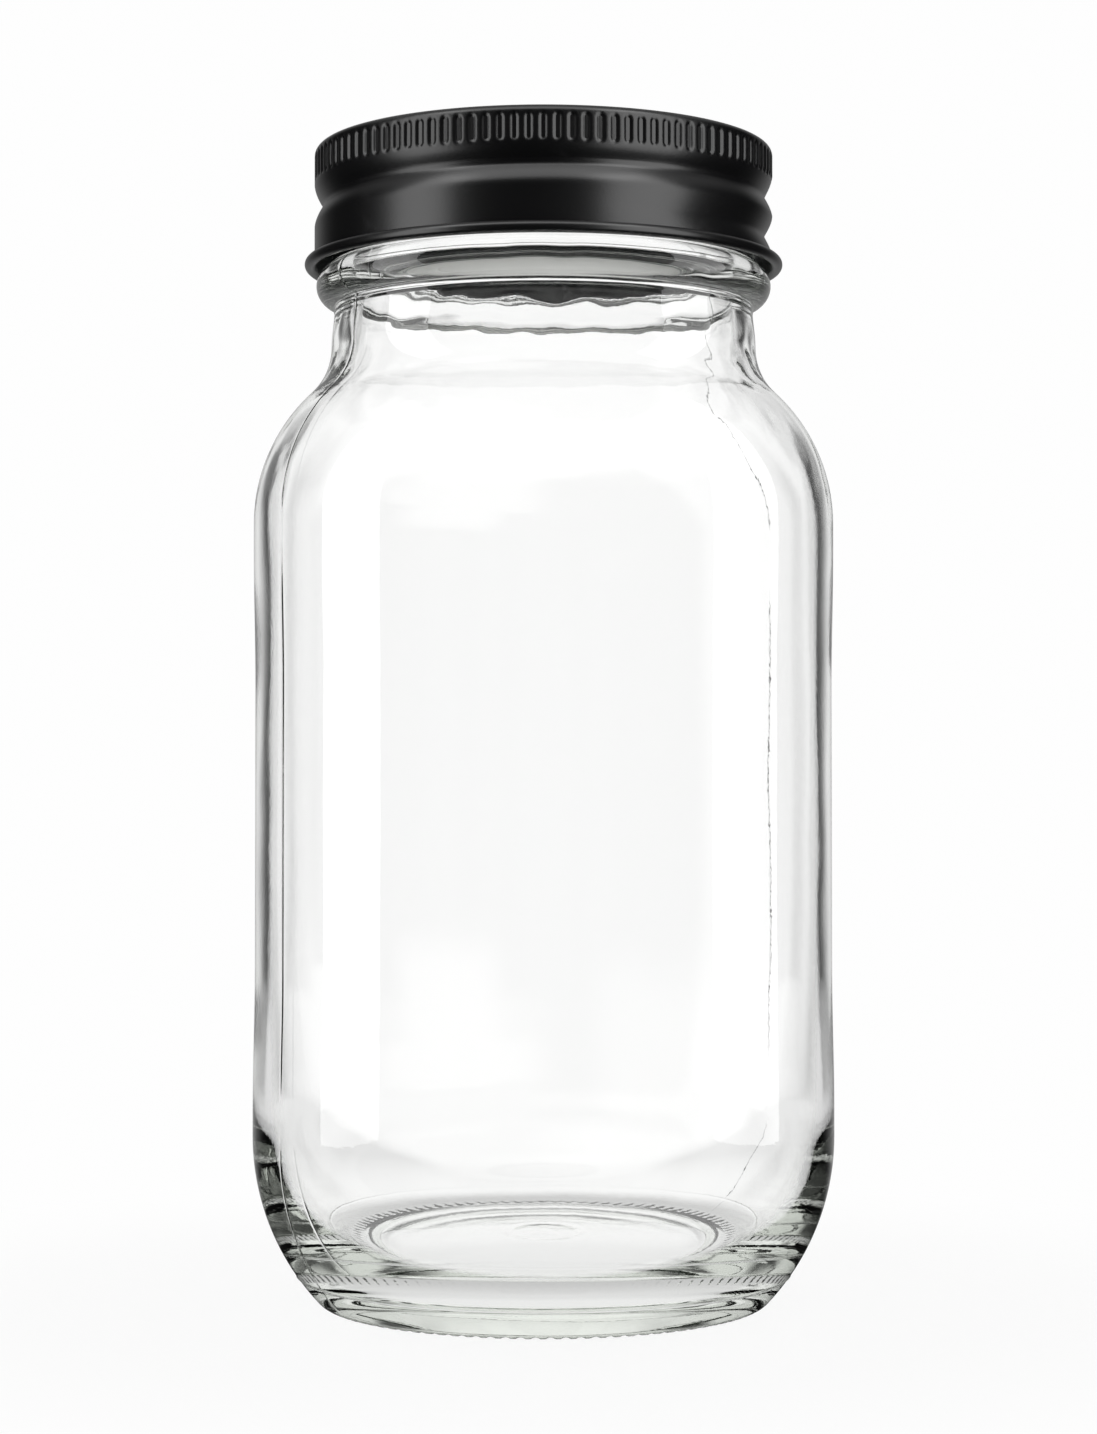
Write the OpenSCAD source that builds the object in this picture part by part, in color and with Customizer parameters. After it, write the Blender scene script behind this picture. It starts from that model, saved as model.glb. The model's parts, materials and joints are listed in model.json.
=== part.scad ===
// Quart canning jar with a regular mouth: a glass jar with a screw thread, a flat metal
// lid with its ring of sealing compound, and a rolled metal screw band.
// Millimetres, +Z up, origin at the middle of the base, on the surface the jar stands on.

/* [Jar body] */
// Outer diameter over the two contact bands, above the heel and below the shoulder
body_d = 91; // [80:0.5:115]
// Height of the glass, from the bearing ring to the sealing rim
jar_h = 180; // [145:0.2:220]
// Glass thickness at the label panel
wall = 2.2; // [1.8:0.1:3.4]
// How far the label panel lies inside the contact bands, on the radius
panel_recess = 0.3; // [0.1:0.05:0.6]
// Height of each contact band
contact_band_h = 4; // [2:0.5:8]
// Height over which a contact band runs into the label panel
panel_blend_h = 8; // [4:0.5:12]

/* [Shoulder and neck] */
// Radius of the rounded shoulder, in profile
shoulder_r = 27.5; // [24:0.5:34]
// Radius of the hollow between shoulder and neck, in profile
neck_fillet_r = 10.5; // [8:0.5:16]
// How far the neck lies inside the finish, on the radius
neck_inset = 0.5; // [0:0.1:1]
// Height of the neck between the hollow and the transfer bead
neck_plain_h = 6.5; // [3:0.5:12]
// How much the neck widens from the bead down to the hollow, on the radius
neck_flare = 0.5; // [0.1:0.1:1]

/* [Base] */
// Height at which the heel leaves the body's side
heel_h = 26.5; // [22:0.5:33]
// Radius of the heel outside, in profile
heel_r = 37.5; // [35:0.5:51]
// Radius of the edge between heel and bearing ring
bearing_edge_r = 3; // [1.5:0.1:3.2]
// Width of the flat ring that the jar stands on
bearing_w = 3; // [2:0.1:4]
// Rise of the hollow under the base, at its edge
push_up_edge_h = 1.6; // [0.8:0.1:2]
// Rise of the hollow under the base, at its middle
push_up = 3.5; // [2.5:0.1:4.5]
// Width of the slope between the bearing ring and the hollow
push_up_slope_w = 3.5; // [2:0.1:5]
// Radius of the heel inside, in profile
inner_heel_r = 18; // [14:0.5:22]
// Height of the inside floor at its edge
floor_edge_h = 5.5; // [5:0.1:7]
// Rise of the inside floor from its edge to its middle
floor_dome = 2; // [1:0.1:3]

/* [Screw finish] */
// Diameter of the finish at the thread's root
finish_d = 66.8; // [56:0.1:72]
// Glass thickness of the finish, at the thread's root
finish_wall = 3.4; // [3:0.1:4]
// Height of the finish, from the transfer bead's middle to the sealing rim
finish_h = 20.6; // [20.2:0.1:25]
// How far the glass thread stands out from its root
thread_h = 1.6; // [1.3:0.05:1.9]
// Width of the glass thread at its root
thread_w = 3.3; // [2.8:0.1:3.6]
// Rise of the thread in one turn, right-handed
thread_pitch = 6.35; // [6:0.05:7.2]
// Turns of the glass thread
thread_turns = 1.4; // [1.1:0.05:1.5]
// Depth of the thread's upper end below the sealing rim, at its middle
thread_start_depth = 3.2; // [2.9:0.1:3.6]
// Radius on both edges of the sealing rim
rim_r = 1.1; // [0.6:0.1:1.4]
// How far the transfer bead stands out from the finish, on the radius
bead_out = 2.4; // [1.6:0.1:2.6]
// Radius of the transfer bead, in profile
bead_r = 3.1; // [2.6:0.1:3.2]

/* [Lid] */
// Thickness of the tinplate, for lid and band alike
sheet = 0.25; // [0.2:0.01:0.32]
// Gap between the lid's edge and the band's wall
lid_gap = 1.65; // [1.2:0.05:1.9]
// Depth of the lid's turned-down edge below its top
lid_skirt_h = 1.5; // [1:0.1:1.7]
// Depth of the middle panel below the lid's outer ring
panel_drop = 0.9; // [0.7:0.05:1.2]
// Width of the sloping step between the outer ring and the middle panel
panel_step_w = 1.6; // [1:0.1:2.4]
// Gap between the panel's step and the mouth's bore
panel_gap = 0.4; // [0.2:0.05:0.6]
// Diameter of the domed button in the middle
button_d = 26; // [20:0.5:32]
// Rise of the button
button_rise = 0.4; // [0.1:0.05:0.6]
// Thickness of the sealing compound between the lid and the glass rim
compound_t = 0.6; // [0.4:0.05:0.8]
// Width of the ring of sealing compound
compound_w = 3.3; // [2.8:0.1:3.5]

/* [Screw band] */
// Gap between the glass thread's crest and the band's wall
band_gap = 0.85; // [0.7:0.05:1]
// Height of the band
band_h = 19.2; // [18:0.1:19.8]
// Width of the flange that holds the lid down
flange_w = 7.2; // [5.5:0.1:10]
// Radius of the band's top corner
band_corner_r = 1.2; // [0.8:0.1:1.5]
// Depth of the rolled thread
roll_depth = 1.4; // [1.2:0.05:1.6]
// Width of the rolled thread
roll_w = 3.6; // [3:0.1:3.8]
// Turns of the rolled thread
roll_turns = 1.5; // [1.1:0.05:1.5]
// Gap between the rolled thread and the glass thread above it, where they overlap
thread_gap = 0.45; // [0.35:0.05:0.5]
// Radius of the curled bottom edge
curl_r = 0.9; // [0.7:0.05:1]

/* [Hidden] */
$fn = 96;

glass_colour = [0.86, 0.90, 0.87, 0.35];
compound_colour = [0.55, 0.56, 0.57];
black_lacquer = [0.03, 0.03, 0.035];

// Where the threads end, as angles about +Z, and how long each takes to fade into its wall
thread_top_angle = 42;
roll_top_angle = 70;
thread_fade_angle = 40;
roll_fade_angle = 75;
// Steps of the threads' sweep, along the helix and across the section
sweep_angle = 9;
section_steps = 6;
// How far a thread's section starts inside the wall that it stands on
thread_root = 0.4;
roll_root = 0.15;
// Segments of a round stretch in a profile
arc_steps = 16;
fine_arc_steps = 8;
// Angle through which the sheet is curled at the band's bottom
curl_angle = 290;

body_r = body_d / 2;
panel_r = body_r - panel_recess;
inner_r = panel_r - wall;
finish_r = finish_d / 2;
bore_r = finish_r - finish_wall;
neck_r = finish_r - neck_inset;
bead_z = jar_h - finish_h;
bead_x = finish_r + bead_out - bead_r;
bead_foot_angle = acos((neck_r - bead_x) / bead_r);
bead_top_angle = acos((finish_r - bead_x) / bead_r);

// The shoulder's arc, and the hollow above it, which is tangent to both shoulder and neck
shoulder_x = body_r - shoulder_r;
neck_top_z = bead_z - bead_r * sin(bead_foot_angle);
hollow_x = neck_r + neck_flare + neck_fillet_r;
hollow_z = neck_top_z - neck_plain_h;
shoulder_z = hollow_z - sqrt(pow(shoulder_r + neck_fillet_r, 2) - pow(hollow_x - shoulder_x, 2));
shoulder_top_angle = acos((hollow_x - shoulder_x) / (shoulder_r + neck_fillet_r));
// The same two arcs on the inside
inner_shoulder_r = inner_r - shoulder_x;
inner_hollow_r = hollow_x - bore_r;
inner_hollow_z = shoulder_z
    + sqrt(pow(inner_shoulder_r + inner_hollow_r, 2) - pow(hollow_x - shoulder_x, 2));
inner_shoulder_top_angle = acos((hollow_x - shoulder_x) / (inner_shoulder_r + inner_hollow_r));

// The heel's arc, and the bearing edge that is tangent to it and to the table
heel_x = body_r - heel_r;
heel_foot_angle = asin((heel_h - bearing_edge_r) / (heel_r - bearing_edge_r));
bearing_out_r = heel_x + (heel_r - bearing_edge_r) * cos(heel_foot_angle);
bearing_in_r = bearing_out_r - bearing_w;
push_up_r = bearing_in_r - push_up_slope_w;
floor_r = inner_r - inner_heel_r;

// The closure, stacked on the sealing rim
lid_ring_z = jar_h + compound_t;
lid_top_z = lid_ring_z + sheet;
band_top_z = lid_top_z + sheet;
thread_crest_r = finish_r + thread_h;
band_in_r = thread_crest_r + band_gap;
band_r = band_in_r + sheet;
band_hole_r = band_r - flange_w;
lid_r = band_in_r - lid_gap;
panel_step_r = bore_r - panel_gap;
roll_crest_r = band_in_r - roll_depth;
curl_x = band_in_r + curl_r;
curl_z = band_top_z - band_h + curl_r;

// Half width of a thread's rounded section at radius r
function half_width(base_r, crest_r, half_w, r) =
    half_w * sqrt(1 - pow((r - base_r) / (crest_r - base_r), 2));

// The two threads' middle lines, kept apart by their flanks where they overlap, and thread_gap
mesh_r = (thread_crest_r + roll_crest_r) / 2;
roll_half_w = roll_w / 2 + sheet;
thread_offset = thread_gap
    + half_width(finish_r - thread_root, thread_crest_r, thread_w / 2, mesh_r)
    + half_width(band_in_r + roll_root, roll_crest_r, roll_half_w, mesh_r);
thread_top_z = jar_h - thread_start_depth;
roll_top_z = thread_top_z - thread_offset
    + thread_pitch * (roll_top_angle - thread_top_angle) / 360;

// Points along an arc, from angle a0 to angle a1
function arc(cx, cz, r, a0, a1, n = arc_steps) =
    [for (i = [0:n]) let (a = a0 + (a1 - a0) * i / n) [cx + r * cos(a), cz + r * sin(a)]];

// Rises smoothly from 0 to 1 as t goes from 0 to 1, and stays within them
function smooth(t) = let (u = min(max(t, 0), 1)) u * u * (3 - 2 * u);

// Points of an S-shaped run from [x0, z0] to [x1, z1], upright at both ends
function upright_blend(x0, z0, x1, z1, n = fine_arc_steps) =
    [for (i = [0:n]) let (t = i / n) [x0 + (x1 - x0) * smooth(t), z0 + (z1 - z0) * t]];

// Points of an S-shaped run from [x0, z0] to [x1, z1], level at both ends
function level_blend(x0, z0, x1, z1, n = fine_arc_steps) =
    [for (i = [0:n]) let (t = i / n) [x0 + (x1 - x0) * t, z0 + (z1 - z0) * smooth(t)]];

// Points of a shallow dome over the axis, from its top out to radius r, where its height is z
function dome(r, z, rise, n = fine_arc_steps) =
    let (sphere_r = (r * r + rise * rise) / (2 * rise), edge = asin(r / sphere_r))
    [for (i = [0:n]) let (a = edge * i / n) [sphere_r * sin(a), z + rise - sphere_r * (1 - cos(a))]];

function reversed(points) = [for (i = [len(points) - 1:-1:0]) points[i]];

// The glass, inside: floor, heel, wall, shoulder, neck and bore
jar_inside = concat(
    dome(floor_r, floor_edge_h, floor_dome),
    arc(floor_r, floor_edge_h + inner_heel_r, inner_heel_r, -90, 0),
    arc(shoulder_x, shoulder_z, inner_shoulder_r, 0, inner_shoulder_top_angle),
    arc(hollow_x, inner_hollow_z, inner_hollow_r, 180 + inner_shoulder_top_angle, 180));

// The glass, over the rim and down the outside: finish, bead, neck, shoulder, panel and heel
jar_outside = concat(
    arc(bore_r + rim_r, jar_h - rim_r, rim_r, 180, 90, fine_arc_steps),
    arc(finish_r - rim_r, jar_h - rim_r, rim_r, 90, 0, fine_arc_steps),
    arc(bead_x, bead_z, bead_r, bead_top_angle, -bead_foot_angle),
    upright_blend(neck_r, neck_top_z, neck_r + neck_flare, hollow_z),
    arc(hollow_x, hollow_z, neck_fillet_r, 180, 180 + shoulder_top_angle),
    arc(shoulder_x, shoulder_z, shoulder_r, shoulder_top_angle, 0),
    upright_blend(body_r, shoulder_z - contact_band_h,
        panel_r, shoulder_z - contact_band_h - panel_blend_h),
    upright_blend(panel_r, heel_h + contact_band_h + panel_blend_h,
        body_r, heel_h + contact_band_h),
    arc(heel_x, heel_h, heel_r, 0, -heel_foot_angle),
    arc(bearing_out_r, bearing_edge_r, bearing_edge_r, -heel_foot_angle, -90, fine_arc_steps));

// The glass, under the base: bearing ring, slope and hollow
jar_underside = concat(
    level_blend(bearing_in_r, 0, push_up_r, push_up_edge_h),
    reversed(dome(push_up_r, push_up_edge_h, push_up - push_up_edge_h)));

// Points of a path without those that repeat the one before
function no_repeats(points) =
    [for (i = [0:len(points) - 1]) if (i == 0 || norm(points[i] - points[i - 1]) > 0.001) points[i]];

// A helical thread: a half-oval section that runs down from its top end, fading at both ends
module helical_thread(base_r, crest_r, half_w, top_z, top_angle, turns, fade_angle) {
    stations = round(turns * 360 / sweep_angle);
    section = section_steps + 1;
    points = [
        for (i = [0:stations])
        let (
            turned = i * turns * 360 / stations,
            ends = min(turned, turns * 360 - turned) / fade_angle,
            size = max(smooth(ends), 0.04),
            angle = top_angle - turned,
            z = top_z - thread_pitch * turned / 360
        )
        for (j = [0:section_steps])
        let (
            a = 180 * j / section_steps,
            r = base_r + (crest_r - base_r) * size * sin(a)
        )
        [r * cos(angle), r * sin(angle), z + half_w * size * cos(a)]
    ];
    sides = [
        for (i = [0:stations - 1], j = [0:section_steps])
        let (a = i * section + j, b = i * section + (j + 1) % section)
        each [[a, b, b + section], [a, b + section, a + section]]
    ];
    caps = [
        [for (j = [section_steps:-1:0]) j],
        [for (j = [0:section_steps]) stations * section + j]
    ];
    faces = concat(sides, caps);
    outward = crest_r > base_r;
    polyhedron(points, outward ? faces : [for (face = faces) reversed(face)]);
}

module rolled_thread(base_r, crest_r, half_w) {
    helical_thread(base_r, crest_r, half_w, roll_top_z, roll_top_angle, roll_turns, roll_fade_angle);
}

module jar() {
    color(glass_colour) {
        rotate_extrude() polygon(no_repeats(concat(jar_inside, jar_outside, jar_underside)));
        helical_thread(finish_r - thread_root, thread_crest_r, thread_w / 2,
            thread_top_z, thread_top_angle, thread_turns, thread_fade_angle);
    }
}

// The lid's upper surface, from the middle to the top of its outer ring's inner edge
function lid_surface(step_r, z) = concat(
    dome(button_d / 2, z, button_rise),
    level_blend(step_r - panel_step_w, z, step_r, z + panel_drop));

module lid_disc() {
    upper = lid_surface(panel_step_r - sheet, lid_top_z - panel_drop);
    lower = lid_surface(panel_step_r, lid_ring_z - panel_drop);
    edge = [
        [lid_r, lid_top_z],
        [lid_r, lid_top_z - lid_skirt_h],
        [lid_r - sheet, lid_top_z - lid_skirt_h],
        [lid_r - sheet, lid_ring_z]
    ];
    color(black_lacquer)
        rotate_extrude() polygon(no_repeats(concat(upper, edge, reversed(lower))));
}

// The compound fills the corner under the lid's outer ring, against its turned-down edge
module sealing_compound() {
    outer_r = lid_r - sheet;
    color(compound_colour)
        translate([0, 0, jar_h])
            difference() {
                cylinder(h = compound_t, r = outer_r);
                translate([0, 0, -compound_t])
                    cylinder(h = 3 * compound_t, r = outer_r - compound_w);
            }
}

// The band's sheet in section: flange, corner, wall and curled edge
module band_section() {
    corner_x = band_r - band_corner_r;
    corner_z = band_top_z - band_corner_r;
    outer = concat(
        [[band_hole_r, band_top_z]],
        arc(corner_x, corner_z, band_corner_r, 90, 0, fine_arc_steps),
        arc(curl_x, curl_z, curl_r - sheet, 180, 180 + curl_angle));
    inner = concat(
        arc(curl_x, curl_z, curl_r, 180 + curl_angle, 180),
        arc(corner_x, corner_z, band_corner_r - sheet, 0, 90, fine_arc_steps),
        [[band_hole_r, lid_top_z]]);
    polygon(concat(outer, inner));
}

module screw_band() {
    color(black_lacquer)
        difference() {
            union() {
                rotate_extrude() band_section();
                rolled_thread(band_in_r + roll_root, roll_crest_r, roll_half_w);
            }
            rolled_thread(band_r + roll_root, roll_crest_r + sheet, roll_w / 2);
        }
}

jar();
lid_disc();
sealing_compound();
screw_band();
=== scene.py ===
"""A quart canning jar: clear glass, a flat lid with its sealing compound, and a black screw band.

Laid out as an add-on and run as a script. Lengths are metres, +Z is up, and -Y is the front.
"""

import json
import math

import bpy
from bpy.props import FloatProperty, FloatVectorProperty, IntProperty, PointerProperty
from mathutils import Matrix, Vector, noise

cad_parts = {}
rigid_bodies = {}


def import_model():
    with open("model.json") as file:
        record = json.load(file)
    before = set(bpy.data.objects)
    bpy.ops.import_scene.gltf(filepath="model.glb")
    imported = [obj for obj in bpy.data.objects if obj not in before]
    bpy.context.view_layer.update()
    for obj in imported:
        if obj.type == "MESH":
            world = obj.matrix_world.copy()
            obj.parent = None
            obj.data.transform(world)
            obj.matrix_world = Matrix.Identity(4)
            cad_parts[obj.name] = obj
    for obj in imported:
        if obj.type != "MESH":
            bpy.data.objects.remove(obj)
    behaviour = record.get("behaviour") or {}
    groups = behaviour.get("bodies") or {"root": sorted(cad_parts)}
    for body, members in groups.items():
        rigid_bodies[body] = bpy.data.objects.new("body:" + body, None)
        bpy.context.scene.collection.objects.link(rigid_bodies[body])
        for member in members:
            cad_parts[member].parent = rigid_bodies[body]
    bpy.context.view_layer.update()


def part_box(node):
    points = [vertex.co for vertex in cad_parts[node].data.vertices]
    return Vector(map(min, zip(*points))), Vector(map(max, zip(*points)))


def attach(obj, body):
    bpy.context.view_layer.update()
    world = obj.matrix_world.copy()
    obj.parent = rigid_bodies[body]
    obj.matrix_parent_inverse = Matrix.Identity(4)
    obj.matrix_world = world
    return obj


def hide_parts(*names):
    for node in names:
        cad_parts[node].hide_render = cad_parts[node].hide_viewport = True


bl_info = {
    "name": "Canning Jar",
    "version": (1, 0, 0),
    "blender": (4, 5, 0),
    "location": "View3D > Sidebar > Canning Jar",
    "description": "Builds the glass, lid, sealing compound and screw band of a canning jar",
    "category": "Object",
}

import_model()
MM = 0.001
TURN = 2 * math.pi

_, GLASS_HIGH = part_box("jar")
LID_LOW, LID_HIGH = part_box("lid_disc")
COMPOUND_LOW, COMPOUND_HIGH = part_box("sealing_compound")
BAND_LOW, BAND_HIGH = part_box("screw_band")


def length(name, description, default):
    """A size in metres."""
    return FloatProperty(
        name=name, description=description, default=default, unit="LENGTH", precision=5
    )


def angle(name, description, degrees):
    """An angle, given in degrees."""
    return FloatProperty(
        name=name, description=description, default=math.radians(degrees), subtype="ANGLE"
    )


def colour(name, description, default):
    """A colour, as linear red, green and blue."""
    return FloatVectorProperty(
        name=name, description=description, default=default, subtype="COLOR", min=0, max=1
    )


# ---------------------------------------------------------------------------
# Settings


class GlassSettings(bpy.types.PropertyGroup):
    """Sizes of the glass that the CAD frame's box doesn't give, and its tint."""

    wall: length("Wall", "Glass thickness at the label panel", 2.2 * MM)
    panel_recess: length("Panel Recess", "How far the label panel lies inside", 0.3 * MM)
    contact_band: length("Contact Band", "Height of each contact band", 4 * MM)
    panel_blend: length("Panel Blend", "Height of a contact band's run into the panel", 22 * MM)
    shoulder_radius: length("Shoulder Radius", "Radius of the shoulder in profile", 27.5 * MM)
    hollow_radius: length("Hollow Radius", "Radius between shoulder and neck", 10.5 * MM)
    neck_radius: length("Neck Radius", "Outer radius of the neck", 32.9 * MM)
    neck_plain: length("Neck Height", "Height of the neck under the bead", 6.5 * MM)
    neck_flare: length("Neck Flare", "How much the neck widens towards the hollow", 0.5 * MM)
    heel_height: length("Heel Height", "Where the heel leaves the body's side", 26.5 * MM)
    heel_radius: length("Heel Radius", "Radius of the heel in profile", 37.5 * MM)
    bearing_edge: length("Bearing Edge", "Radius between heel and bearing ring", 3 * MM)
    bearing_width: length("Bearing Width", "Width of the ring the jar stands on", 3 * MM)
    push_up_edge: length("Push-up Edge", "Rise of the base's hollow at its edge", 1.6 * MM)
    push_up: length("Push-up", "Rise of the base's hollow at its middle", 3.5 * MM)
    push_up_slope: length("Push-up Slope", "Width of the slope inside the bearing ring", 3.5 * MM)
    inner_heel: length("Inner Heel", "How far the heel reaches in from the inside wall", 17 * MM)
    inner_heel_top: length("Inner Heel Top", "Where the heel leaves the inside wall", 31 * MM)
    floor_edge: length("Floor Edge", "Height of the inside floor at its edge", 6.2 * MM)
    floor_dome: length("Floor Dome", "Rise of the inside floor to its middle", 1.5 * MM)
    finish_radius: length("Finish Radius", "Radius at the thread's root", 33.4 * MM)
    bore_radius: length("Bore Radius", "Radius of the mouth", 30 * MM)
    finish_height: length("Finish Height", "Transfer bead's middle to the rim", 20.6 * MM)
    rim_radius: length("Rim Radius", "Radius on the sealing rim's edges", 1.1 * MM)
    bead_radius: length("Bead Radius", "Radius of the transfer bead in profile", 3.1 * MM)
    bead_reach: length("Bead Reach", "Outer radius of the transfer bead", 35.8 * MM)
    thread_crest: length("Thread Crest", "Radius over the thread", 35 * MM)
    thread_width: length("Thread Width", "Width of the thread at its root", 3.3 * MM)
    thread_depth: length("Thread Start", "Depth of the thread's upper end", 3.2 * MM)
    thread_pitch: length("Thread Pitch", "Rise of the thread in one turn", 6.35 * MM)
    thread_turns: FloatProperty(name="Thread Turns", description="Turns of thread", default=1.4)
    thread_angle: angle("Thread Angle", "Where the thread's upper end lies", 42)
    thread_fade: angle("Thread Fade", "Turn in which a thread's end fades out", 40)
    thread_lean: length("Thread Lean", "How far the threads lean up to the left", 0.75 * MM)
    seam_angle: angle("Seam Angle", "Where one mould seam lies; the other is opposite", 210)
    seam_height: length("Seam Height", "How far the mould seams stand out", 0.08 * MM)
    seam_width: length("Seam Width", "Half width of a mould seam", 0.22 * MM)
    ring_height: length("Parting Height", "How far the parting rings stand out", 0.14 * MM)
    heel_ring: length("Heel Ring", "Height of the base's parting ring", 4.8 * MM)
    neck_ring: length("Neck Ring", "Depth of the neck's parting ring under the bead", 0.9 * MM)
    ripple: length("Ripple", "Unevenness of the inside wall", 0.05 * MM)
    tick_count: IntProperty(name="Ticks", description="Knurls round the bearing ring", default=96)
    tick_depth: length("Tick Depth", "Depth between two knurls", 0.24 * MM)
    tint: colour("Tint", "What the glass lets through", (0.86, 0.88, 0.845))
    tint_density: FloatProperty(name="Tint Density", description="Tint per metre", default=22.0)


class ClosureSettings(bpy.types.PropertyGroup):
    """Sizes of the lid and band that the CAD frame's boxes don't give, and their colours."""

    sheet: length("Sheet", "Thickness of the tinplate", 0.25 * MM)
    wall_radius: length("Wall Radius", "Outer radius of the band's wall", 36.1 * MM)
    hole_radius: length("Hole Radius", "Radius of the hole in the band", 28.9 * MM)
    corner_radius: length("Corner Radius", "Radius of the band's top corner", 1.2 * MM)
    curl_radius: length("Curl Radius", "Radius of the curled bottom edge", 0.9 * MM)
    curl_angle: angle("Curl Angle", "How far round the edge is curled", 300)
    roll_depth: length("Roll Depth", "Depth of the rolled thread", 1.4 * MM)
    roll_width: length("Roll Width", "Width of the rolled thread, with its shoulders", 6 * MM)
    roll_top: length("Roll Top", "Depth of the rolled thread's upper end", 6.26 * MM)
    roll_angle: angle("Roll Angle", "Where the rolled thread's upper end lies", 70)
    roll_turns: FloatProperty(name="Roll Turns", description="Turns of rolled thread", default=1.42)
    roll_fade: angle("Roll Fade", "Turn in which a rolled end fades out", 90)
    knurl_count: IntProperty(name="Knurls", description="Knurls round the band", default=106)
    knurl_depth: length("Knurl Depth", "Depth of a knurl", 0.3 * MM)
    knurl_top: length("Knurl Top", "Depth of the knurls' upper ends", 1.3 * MM)
    knurl_length: length("Knurl Length", "Length of a knurl", 4.1 * MM)
    knurl_width: length("Knurl Width", "Half width of a knurl", 0.58 * MM)
    lacquer: colour("Lacquer", "The satin black on lid and band", (0.0008, 0.0008, 0.0010))
    underside: colour("Underside", "The lid's inside lacquer", (0.72, 0.72, 0.70))
    compound: colour("Compound", "The sealing compound", (0.30, 0.31, 0.32))


class StageSettings(bpy.types.PropertyGroup):
    """The camera, the lamps and the white surroundings."""

    lens: FloatProperty(name="Lens", description="Focal length", default=78.9, unit="CAMERA")
    distance: length("Distance", "From the jar's axis to the camera", 495 * MM)
    eye_height: length("Eye Height", "Height of the camera over the table", 80.6 * MM)
    eye_offset: length("Eye Offset", "How far right of the axis the camera is", 0.78 * MM)
    tilt: angle("Tilt", "How far the camera looks up", 1.294)
    white: FloatProperty(name="White", description="Level of the plain background", default=0.99)
    window: FloatProperty(name="Window", description="Level behind the glass", default=1.05)
    side_window: FloatProperty(name="Side Window", description="Level aside", default=0.85)
    shade: FloatProperty(name="Shade", description="Level beside the windows", default=0.07)
    flank: FloatProperty(name="Flank", description="Level past the dark edges", default=0.9)
    mirrored: FloatProperty(name="Mirrored", description="Level mirrored behind", default=0.35)
    window_edge: angle("Window Edge", "Where a window starts to darken", 14)
    shade_edge: angle("Shade Edge", "Where a window is dark", 33)
    near: length("Near", "Radius of the plain white table round the jar", 0.065)
    near_level: FloatProperty(name="Near Level", description="Table through glass", default=1.04)
    # Painted shade: seen through the glass, the table is darker under the base and darkest at the
    # bearing ring, as a painted contact shadow.
    painted_under_shade: FloatProperty(name="Under Level", description="Table under the base", default=0.92)
    painted_contact_shadow: FloatProperty(name="Contact Level", description="Table at the ring", default=0.6)
    paper: FloatProperty(name="Paper", description="The table's share of lit paper", default=0.14)
    softbox: FloatProperty(name="Softbox", description="Radiance of the glass's lamps", default=2.3)
    key: FloatProperty(name="Key", description="Radiance of the closure's lamps", default=3.3)
    ceiling: FloatProperty(name="Ceiling", description="Level mirrored from above", default=0.5)


# ---------------------------------------------------------------------------
# Node graphs


class Value:
    """A node's output socket, on which Python's operators add Math nodes."""

    def __init__(self, graph, socket):
        self.graph = graph
        self.socket = socket

    def _math(self, operation, *terms):
        return self.graph.math(operation, *terms)

    def __add__(self, other):
        return self._math("ADD", self, other)

    def __sub__(self, other):
        return self._math("SUBTRACT", self, other)

    def __rsub__(self, other):
        return self._math("SUBTRACT", other, self)

    def __mul__(self, other):
        return self._math("MULTIPLY", self, other)

    def __truediv__(self, other):
        return self._math("DIVIDE", self, other)

    def __rtruediv__(self, other):
        return self._math("DIVIDE", other, self)

    def __pow__(self, other):
        return self._math("POWER", self, other)

    def __mod__(self, other):
        return self._math("FLOORED_MODULO", self, other)

    def __abs__(self):
        return self._math("ABSOLUTE", self)

    __radd__ = __add__
    __rmul__ = __mul__


class Graph:
    """Adds nodes to a shader tree or a geometry tree."""

    def __init__(self, tree):
        self.tree = tree

    def node(self, kind, settings=None, sockets=None):
        """One node: its settings are set first, then its sockets' values or links."""
        made = self.tree.nodes.new(kind)
        for name, setting in (settings or {}).items():
            setattr(made, name, setting)
        for key, given in (sockets or {}).items():
            if isinstance(given, Value):
                self.tree.links.new(given.socket, made.inputs[key])
            else:
                made.inputs[key].default_value = given
        return made

    def out(self, kind, settings=None, sockets=None, output=0):
        """One node's output, as a value."""
        return Value(self, self.node(kind, settings, sockets).outputs[output])

    def math(self, operation, *terms):
        kind = "ShaderNodeMath"
        return self.out(kind, {"operation": operation}, dict(enumerate(terms)))

    def step(self, value, low, high, start=0.0, end=1.0):
        """Runs smoothly from start to end while value runs from low to high."""
        sockets = {"Value": value, 1: low, 2: high, 3: start, 4: end}
        return self.out("ShaderNodeMapRange", {"interpolation_type": "SMOOTHSTEP"}, sockets)

    def mix(self, factor, first, second):
        """A mix of two colours."""
        sockets = {"Factor": factor, 6: first, 7: second}
        return self.out("ShaderNodeMix", {"data_type": "RGBA"}, sockets, output=2)

    def split(self, vector):
        """The three parts of a vector."""
        made = self.node("ShaderNodeSeparateXYZ", None, {0: vector})
        return [Value(self, socket) for socket in made.outputs]


def grey(level):
    return (level, level, level, 1.0)


# ---------------------------------------------------------------------------
# Profiles: lists of (radius, height), run along the section


def arc(cx, cz, radius, start, end, steps, stretch=1.0):
    """Points along an arc, from angle start to angle end, in radians; stretch makes it taller."""
    turns = [start + (end - start) * i / steps for i in range(steps + 1)]
    return [(cx + radius * math.cos(t), cz + radius * stretch * math.sin(t)) for t in turns]


def line(start, end, steps):
    """Points along a straight run."""
    return [
        tuple(a + (b - a) * i / steps for a, b in zip(start, end)) for i in range(steps + 1)
    ]


def smooth(t):
    t = min(max(t, 0.0), 1.0)
    return t * t * (3 - 2 * t)


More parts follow.
